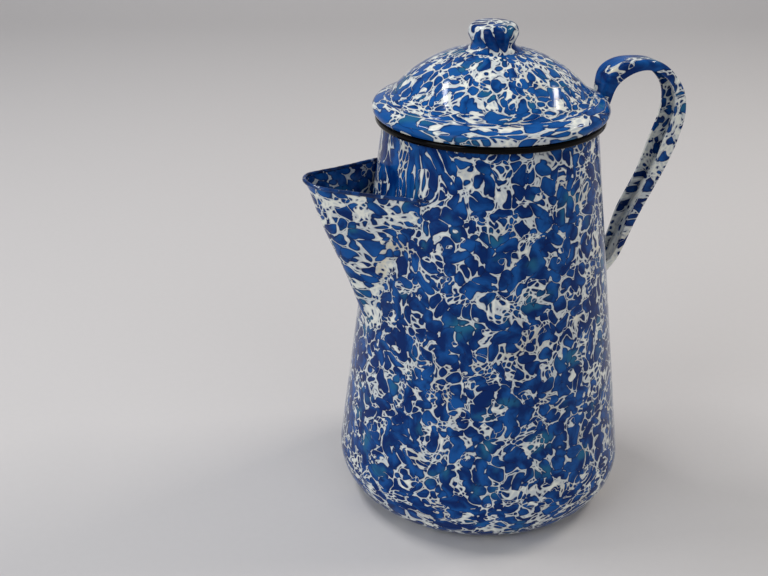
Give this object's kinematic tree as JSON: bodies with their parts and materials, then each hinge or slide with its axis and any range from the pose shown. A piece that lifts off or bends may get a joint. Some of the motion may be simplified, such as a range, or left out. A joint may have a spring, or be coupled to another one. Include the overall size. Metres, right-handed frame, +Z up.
{
  "type": "coffee percolator",
  "caption": "Stovetop enamelled percolator: tapered pot with V-shaped open spout, channel handle, lift-off domed lid, and a pump and basket inside.",
  "frame": {"origin": "centre of the flat base, on the surface that the pot stands on", "axes": "+Z up the pot's axis, spout towards -X, handle towards +X"},
  "size_m": [0.1934, 0.1448, 0.2405],
  "materials": {
    "enamel": "glossy swirled blue and white enamel",
    "black_enamel": "glossy black enamel",
    "aluminium": "spun, satin"
  },
  "bodies": {
    "pot": {"body_shell": "enamel", "base_pan": "enamel", "mouth_bead": "black_enamel", "spout": "enamel", "handle": "enamel"},
    "pump": {"pump_tube": "aluminium", "pump_foot": "aluminium", "basket_stop": "aluminium"},
    "basket": {"basket": "aluminium", "basket_sleeve": "aluminium"},
    "cover": {"basket_cover": "aluminium"},
    "lid": {"lid_shell": "enamel", "lid_collar": "enamel", "knob": "enamel"}
  },
  "joints": [
    {"name": "pump_lift", "type": "slide", "parent": "pot", "child": "pump", "axis": [0, 0, 1], "range_m": [0, 0.21]},
    {"name": "basket_lift", "type": "slide", "parent": "pump", "child": "basket", "axis": [0, 0, 1], "range_m": [0, 0.085]},
    {"name": "cover_lift", "type": "slide", "parent": "basket", "child": "cover", "axis": [0, 0, 1], "range_m": [0, 0.04]},
    {"name": "lid_lift", "type": "slide", "parent": "cover", "child": "lid", "axis": [0, 0, 1], "range_m": [0, 0.1]}
  ]
}
